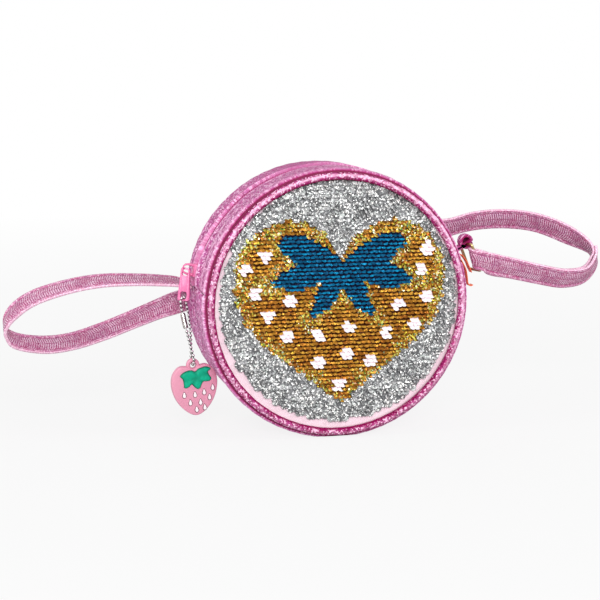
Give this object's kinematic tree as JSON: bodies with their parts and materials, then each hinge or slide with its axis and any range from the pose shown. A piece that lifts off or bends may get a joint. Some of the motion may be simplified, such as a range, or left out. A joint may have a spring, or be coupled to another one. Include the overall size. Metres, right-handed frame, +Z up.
{
  "type": "shoulder bag",
  "caption": "Round drum-shaped shoulder bag with a sequin face, zip over the top, slim strap with ring and a strawberry zip charm",
  "frame": {"origin": "middle of the resting face, on the floor under the drum's axis and half way through its depth", "axes": "+Z up, front sequin face towards -Y, drum axis along Y, zip slider at the -X side"},
  "size_m": [0.4175, 0.0857, 0.1785],
  "materials": {
    "blue_sequin": "metallised sequins",
    "chain_steel": "nickel plated",
    "charm_green": "soft moulded PVC",
    "charm_pink": "soft moulded PVC",
    "glitter_mauve": "glitter coated leatherette",
    "glitter_pink": "glitter coated leatherette",
    "gold_sequin": "metallised sequins",
    "lining_pink": "thin woven lining",
    "orange_ribbon": "satin ribbon",
    "painted_pink": "gloss enamel",
    "pale_fabric": "brushed satin",
    "pale_gold": "light gold plated",
    "piping_pink": "glitter coated leatherette cord cover",
    "silver_sequin": "metallised sequins",
    "zip_pink": "woven polyester tape and nylon coil"
  },
  "bodies": {
    "bag": {"back_panel": "glitter_pink", "back_piping": "piping_pink", "front_panel": "pale_fabric", "front_piping": "piping_pink", "lining_back": "lining_pink", "lining_front": "lining_pink", "lining_lower": "lining_pink", "lining_upper_back": "lining_pink", "lining_upper_front": "lining_pink", "lower_gusset": "glitter_mauve", "ribbon_tag": "orange_ribbon", "sequin_heart": "gold_sequin", "sequin_leaves": "blue_sequin", "sequin_patch": "silver_sequin", "shoulder_strap": "glitter_mauve", "strap_ring": "pale_gold", "strap_tab": "glitter_pink", "upper_gusset_back": "glitter_pink", "upper_gusset_front": "glitter_pink", "zip_stop_left": "painted_pink", "zip_stop_right": "painted_pink", "zip_tape_back": "zip_pink", "zip_tape_front": "zip_pink", "zip_teeth_back": "zip_pink", "zip_teeth_front": "zip_pink"},
    "slider": {"zip_slider": "painted_pink"},
    "pull": {"zip_pull": "painted_pink"},
    "chain": {"ball_chain": "chain_steel", "chain_connector": "chain_steel"},
    "charm": {"charm_body": "charm_pink", "charm_leaves": "charm_green"}
  },
  "joints": [
    {"name": "slider_travel", "type": "hinge", "parent": "bag", "child": "slider", "pos_m": [0, 0, 0.0885], "axis": [0, 1, 0], "range_deg": [0, 138]},
    {"name": "pull_swing", "type": "hinge", "parent": "slider", "child": "pull", "pos_m": [-0.09483, 0, 0.11074], "axis": [-0.6691, 0.7431, 0], "range_deg": [0, 50]},
    {"name": "chain_swing", "type": "hinge", "parent": "pull", "child": "chain", "pos_m": [-0.09698, -0.00194, 0.09014], "axis": [-0.6691, 0.7431, 0], "range_deg": [0, 60]},
    {"name": "charm_swing", "type": "hinge", "parent": "chain", "child": "charm", "pos_m": [-0.09238, -0.00894, 0.04774], "axis": [0.1045, -0.9945, 0], "range_deg": [-35, 2]}
  ]
}
